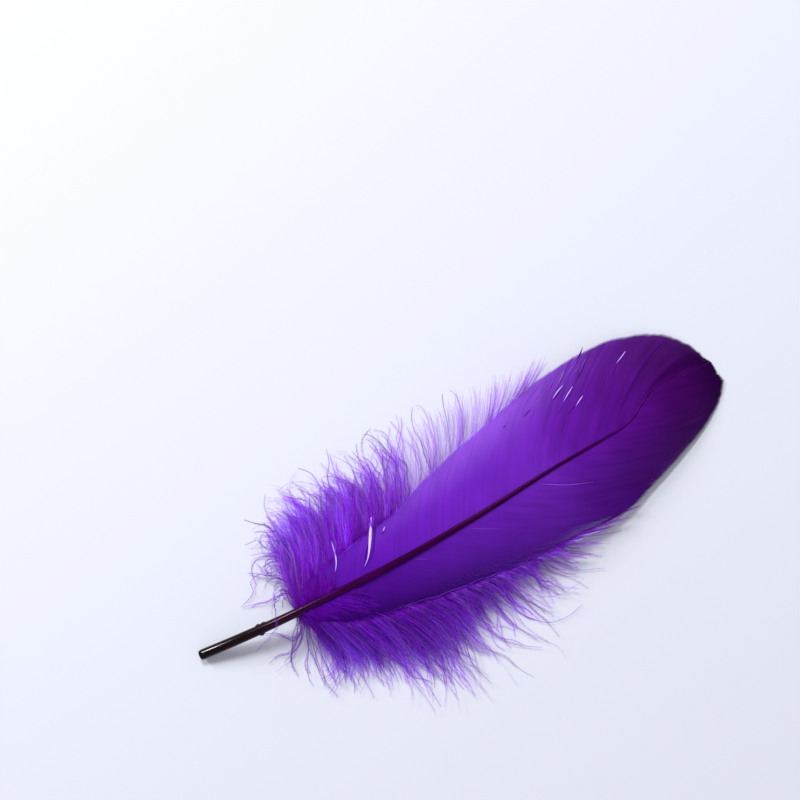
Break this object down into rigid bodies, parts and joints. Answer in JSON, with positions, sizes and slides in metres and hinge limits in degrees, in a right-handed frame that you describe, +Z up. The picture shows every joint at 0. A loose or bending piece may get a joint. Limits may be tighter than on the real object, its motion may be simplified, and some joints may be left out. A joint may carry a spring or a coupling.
{
  "type": "goose quill feather",
  "caption": "Dyed violet goose quill feather with a glossy dark quill, two closed vanes and loose downy locks, lying on its inner side.",
  "frame": {"origin": "middle of the feather's box at the height of the surface that it lies on", "axes": "+X from the quill's end to the tip, +Y towards the broad vane, +Z up, outer side of the feather up"},
  "size_m": [0.1803, 0.0888, 0.0145],
  "materials": {
    "vane": "closed vane of fine dyed violet barbs, soft sheen",
    "down": "loose dyed violet down, matt, light shows through its tips",
    "quill": "glossy near black to maroon keratin"
  },
  "bodies": {
    "root": {"feather": "vane"}
  },
  "joints": []
}
